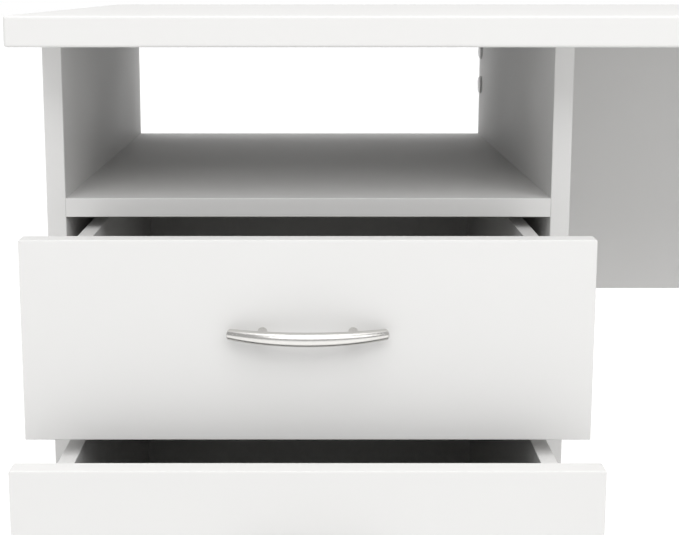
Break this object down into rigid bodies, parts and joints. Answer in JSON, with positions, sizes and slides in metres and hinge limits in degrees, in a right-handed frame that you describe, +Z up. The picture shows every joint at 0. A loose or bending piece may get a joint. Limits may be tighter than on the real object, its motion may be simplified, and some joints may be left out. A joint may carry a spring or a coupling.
{
  "type": "corner desk",
  "caption": "Left-hand pedestal corner desk with an open cubby over two sliding drawers, a modesty panel and a forward-curving right wing.",
  "frame": {"origin": "centre of the desk's footprint, on the floor", "axes": "+X to the user's right along the back, +Y towards the back, +Z up"},
  "size_m": [1.45, 0.812, 0.768],
  "materials": {
    "white_board": "white melamine-faced particle board with edging, satin",
    "drawer_board": "white foil-faced particle board, satin",
    "drawer_bottom_board": "white-painted hardboard",
    "back_board": "white-painted hardboard",
    "satin_nickel": "satin nickel plate",
    "runner_steel": "white epoxy-coated steel",
    "nylon": "natural nylon",
    "zinc_steel": "bright zinc plate",
    "cam_zinc": "die-cast zinc",
    "white_plastic": "moulded white cap",
    "glide_plastic": "hard moulded glide",
    "dowel_wood": "fluted beech"
  },
  "bodies": {
    "carcass": {"desktop": "white_board", "pedestal_left_wall": "white_board", "pedestal_right_wall": "white_board", "cubby_shelf": "white_board", "pedestal_bottom": "white_board", "pedestal_plinth": "white_board", "pedestal_back": "back_board", "modesty_panel": "white_board", "right_gable": "white_board", "wing_end_panel": "white_board", "top_brackets": "zinc_steel", "bracket_screws": "zinc_steel", "carcass_screws": "zinc_steel", "domed_caps": "white_plastic", "flat_caps": "white_plastic", "dowels": "dowel_wood", "back_board_nails": "zinc_steel", "floor_glides": "glide_plastic", "wall_runner_screws": "zinc_steel", "upper_left_wall_runner": "runner_steel", "upper_right_wall_runner": "runner_steel", "lower_left_wall_runner": "runner_steel", "lower_right_wall_runner": "runner_steel"},
    "upper_drawer": {"upper_drawer_front": "white_board", "upper_drawer_left_side": "drawer_board", "upper_drawer_right_side": "drawer_board", "upper_drawer_back": "drawer_board", "upper_drawer_bottom": "drawer_bottom_board", "upper_drawer_handle": "satin_nickel", "upper_handle_screws": "zinc_steel", "upper_front_cam_bolts": "zinc_steel", "upper_front_cams": "cam_zinc", "upper_box_screws": "zinc_steel", "upper_left_drawer_runner": "runner_steel", "upper_right_drawer_runner": "runner_steel", "upper_drawer_runner_screws": "zinc_steel"},
    "upper_left_wall_roller": {"upper_left_wall_roller": "nylon"},
    "upper_left_drawer_roller": {"upper_left_drawer_roller": "nylon"},
    "upper_right_wall_roller": {"upper_right_wall_roller": "nylon"},
    "upper_right_drawer_roller": {"upper_right_drawer_roller": "nylon"},
    "lower_drawer": {"lower_drawer_front": "white_board", "lower_drawer_left_side": "drawer_board", "lower_drawer_right_side": "drawer_board", "lower_drawer_back": "drawer_board", "lower_drawer_bottom": "drawer_bottom_board", "lower_drawer_handle": "satin_nickel", "lower_handle_screws": "zinc_steel", "lower_front_cam_bolts": "zinc_steel", "lower_front_cams": "cam_zinc", "lower_box_screws": "zinc_steel", "lower_left_drawer_runner": "runner_steel", "lower_right_drawer_runner": "runner_steel", "lower_drawer_runner_screws": "zinc_steel"},
    "lower_left_wall_roller": {"lower_left_wall_roller": "nylon"},
    "lower_left_drawer_roller": {"lower_left_drawer_roller": "nylon"},
    "lower_right_wall_roller": {"lower_right_wall_roller": "nylon"},
    "lower_right_drawer_roller": {"lower_right_drawer_roller": "nylon"}
  },
  "joints": [
    {"name": "upper_drawer_slide", "type": "slide", "parent": "carcass", "child": "upper_drawer", "axis": [0, -1, 0], "range_m": [-0.089, 0.211]},
    {"name": "upper_left_wall_roller_spin", "type": "hinge", "parent": "carcass", "child": "upper_left_wall_roller", "pos_m": [-0.6971, 0.004, 0.4885], "axis": [1, 0, 0], "continuous": true},
    {"name": "upper_left_drawer_roller_spin", "type": "hinge", "parent": "upper_drawer", "child": "upper_left_drawer_roller", "pos_m": [-0.6939, 0.288, 0.4885], "axis": [1, 0, 0], "continuous": true},
    {"name": "upper_right_wall_roller_spin", "type": "hinge", "parent": "carcass", "child": "upper_right_wall_roller", "pos_m": [-0.3269, 0.004, 0.4885], "axis": [1, 0, 0], "continuous": true},
    {"name": "upper_right_drawer_roller_spin", "type": "hinge", "parent": "upper_drawer", "child": "upper_right_drawer_roller", "pos_m": [-0.3301, 0.288, 0.4885], "axis": [1, 0, 0], "continuous": true},
    {"name": "lower_drawer_slide", "type": "slide", "parent": "carcass", "child": "lower_drawer", "axis": [0, -1, 0], "range_m": [-0.138, 0.162]},
    {"name": "lower_left_wall_roller_spin", "type": "hinge", "parent": "carcass", "child": "lower_left_wall_roller", "pos_m": [-0.6971, 0.004, 0.1385], "axis": [1, 0, 0], "continuous": true},
    {"name": "lower_left_drawer_roller_spin", "type": "hinge", "parent": "lower_drawer", "child": "lower_left_drawer_roller", "pos_m": [-0.6939, 0.239, 0.1385], "axis": [1, 0, 0], "continuous": true},
    {"name": "lower_right_wall_roller_spin", "type": "hinge", "parent": "carcass", "child": "lower_right_wall_roller", "pos_m": [-0.3269, 0.004, 0.1385], "axis": [1, 0, 0], "continuous": true},
    {"name": "lower_right_drawer_roller_spin", "type": "hinge", "parent": "lower_drawer", "child": "lower_right_drawer_roller", "pos_m": [-0.3301, 0.239, 0.1385], "axis": [1, 0, 0], "continuous": true}
  ],
  "couplings": [
    {"joint": "upper_left_wall_roller_spin", "follows": "upper_drawer_slide", "rad_per_m": 142.86},
    {"joint": "upper_left_drawer_roller_spin", "follows": "upper_drawer_slide", "rad_per_m": 142.86},
    {"joint": "upper_right_wall_roller_spin", "follows": "upper_drawer_slide", "rad_per_m": 142.86},
    {"joint": "upper_right_drawer_roller_spin", "follows": "upper_drawer_slide", "rad_per_m": 142.86},
    {"joint": "lower_left_wall_roller_spin", "follows": "lower_drawer_slide", "rad_per_m": 142.86},
    {"joint": "lower_left_drawer_roller_spin", "follows": "lower_drawer_slide", "rad_per_m": 142.86},
    {"joint": "lower_right_wall_roller_spin", "follows": "lower_drawer_slide", "rad_per_m": 142.86},
    {"joint": "lower_right_drawer_roller_spin", "follows": "lower_drawer_slide", "rad_per_m": 142.86}
  ]
}
